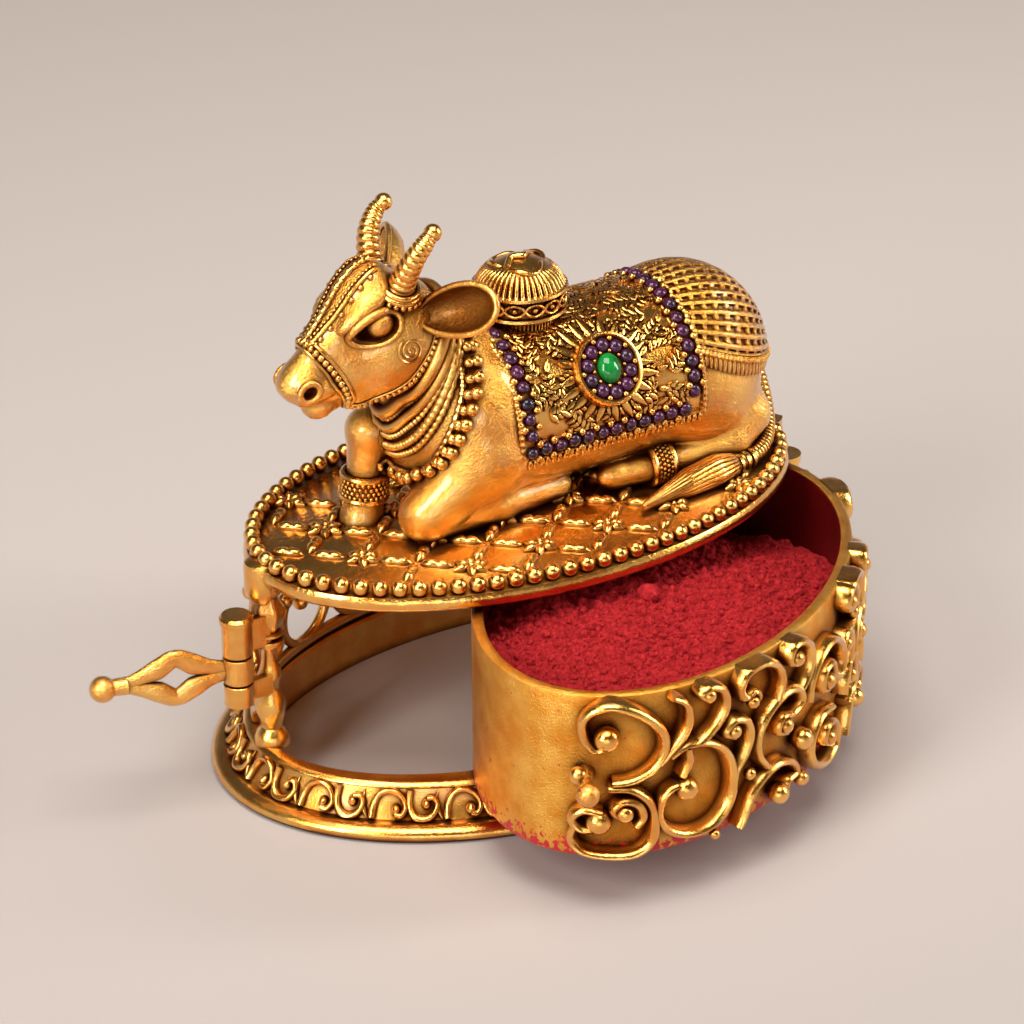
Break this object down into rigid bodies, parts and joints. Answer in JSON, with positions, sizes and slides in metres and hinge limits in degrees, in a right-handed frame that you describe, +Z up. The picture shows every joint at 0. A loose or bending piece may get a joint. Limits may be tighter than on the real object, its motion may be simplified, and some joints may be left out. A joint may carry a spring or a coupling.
{
  "type": "kumkum box",
  "caption": "Oval antique-gold kumkum box with a seated bull on its deck, a swing-out bowl of red powder and a hook latch.",
  "frame": {"origin": "middle of the foot ring, on the table it stands on", "axes": "+X along the oval from the bull's head to the hinge, -Y to the side the bowl swings out, +Z up"},
  "size_m": [0.0917, 0.0712, 0.0654],
  "materials": {
    "antique_gold": "antique gold plate with dark patina in the recesses",
    "satin_gold": "satin brushed gold plate",
    "purple_stone": "dull faceted purple stones",
    "green_stone": "polished green cabochon",
    "kumkum": "fine crimson powder"
  },
  "bodies": {
    "frame": {"base_ring": "antique_gold", "gallery_wall": "antique_gold", "latch_post": "antique_gold", "latch_pin": "antique_gold", "hinge_bracket_low": "antique_gold", "hinge_bracket_high": "antique_gold", "hinge_pin": "antique_gold", "lid_plate": "antique_gold", "bead_rim": "antique_gold", "bull_body": "antique_gold", "bull_head": "antique_gold", "horn_left": "antique_gold", "horn_right": "antique_gold", "ear_left": "antique_gold", "ear_right": "antique_gold", "foreleg_raised": "antique_gold", "foreleg_folded": "antique_gold", "hind_leg_left": "antique_gold", "hind_leg_right": "antique_gold", "tail": "antique_gold", "hump_ornament": "antique_gold", "saddle_cloth": "antique_gold", "rump_cover": "antique_gold", "medallion_left": "antique_gold", "medallion_right": "antique_gold", "cabochon_left": "green_stone", "cabochon_right": "green_stone", "medallion_stones": "purple_stone", "border_stones": "purple_stone", "neck_garlands": "antique_gold", "bead_necklace": "antique_gold", "halter": "antique_gold", "anklets": "antique_gold"},
    "drawer": {"drawer_bowl": "satin_gold", "drawer_scrollwork": "antique_gold", "latch_stud": "antique_gold", "kumkum_powder": "kumkum"},
    "latch": {"latch_lever": "antique_gold"}
  },
  "joints": [
    {"name": "drawer_swing", "type": "hinge", "parent": "frame", "child": "drawer", "pos_m": [0.0369, 0, 0.0143], "axis": [0, 0, 1], "range_deg": [-32.8, 50]},
    {"name": "latch_swing", "type": "hinge", "parent": "frame", "child": "latch", "pos_m": [-0.0369, 0, 0.0162], "axis": [0, 0, 1], "range_deg": [-40, 137]}
  ]
}
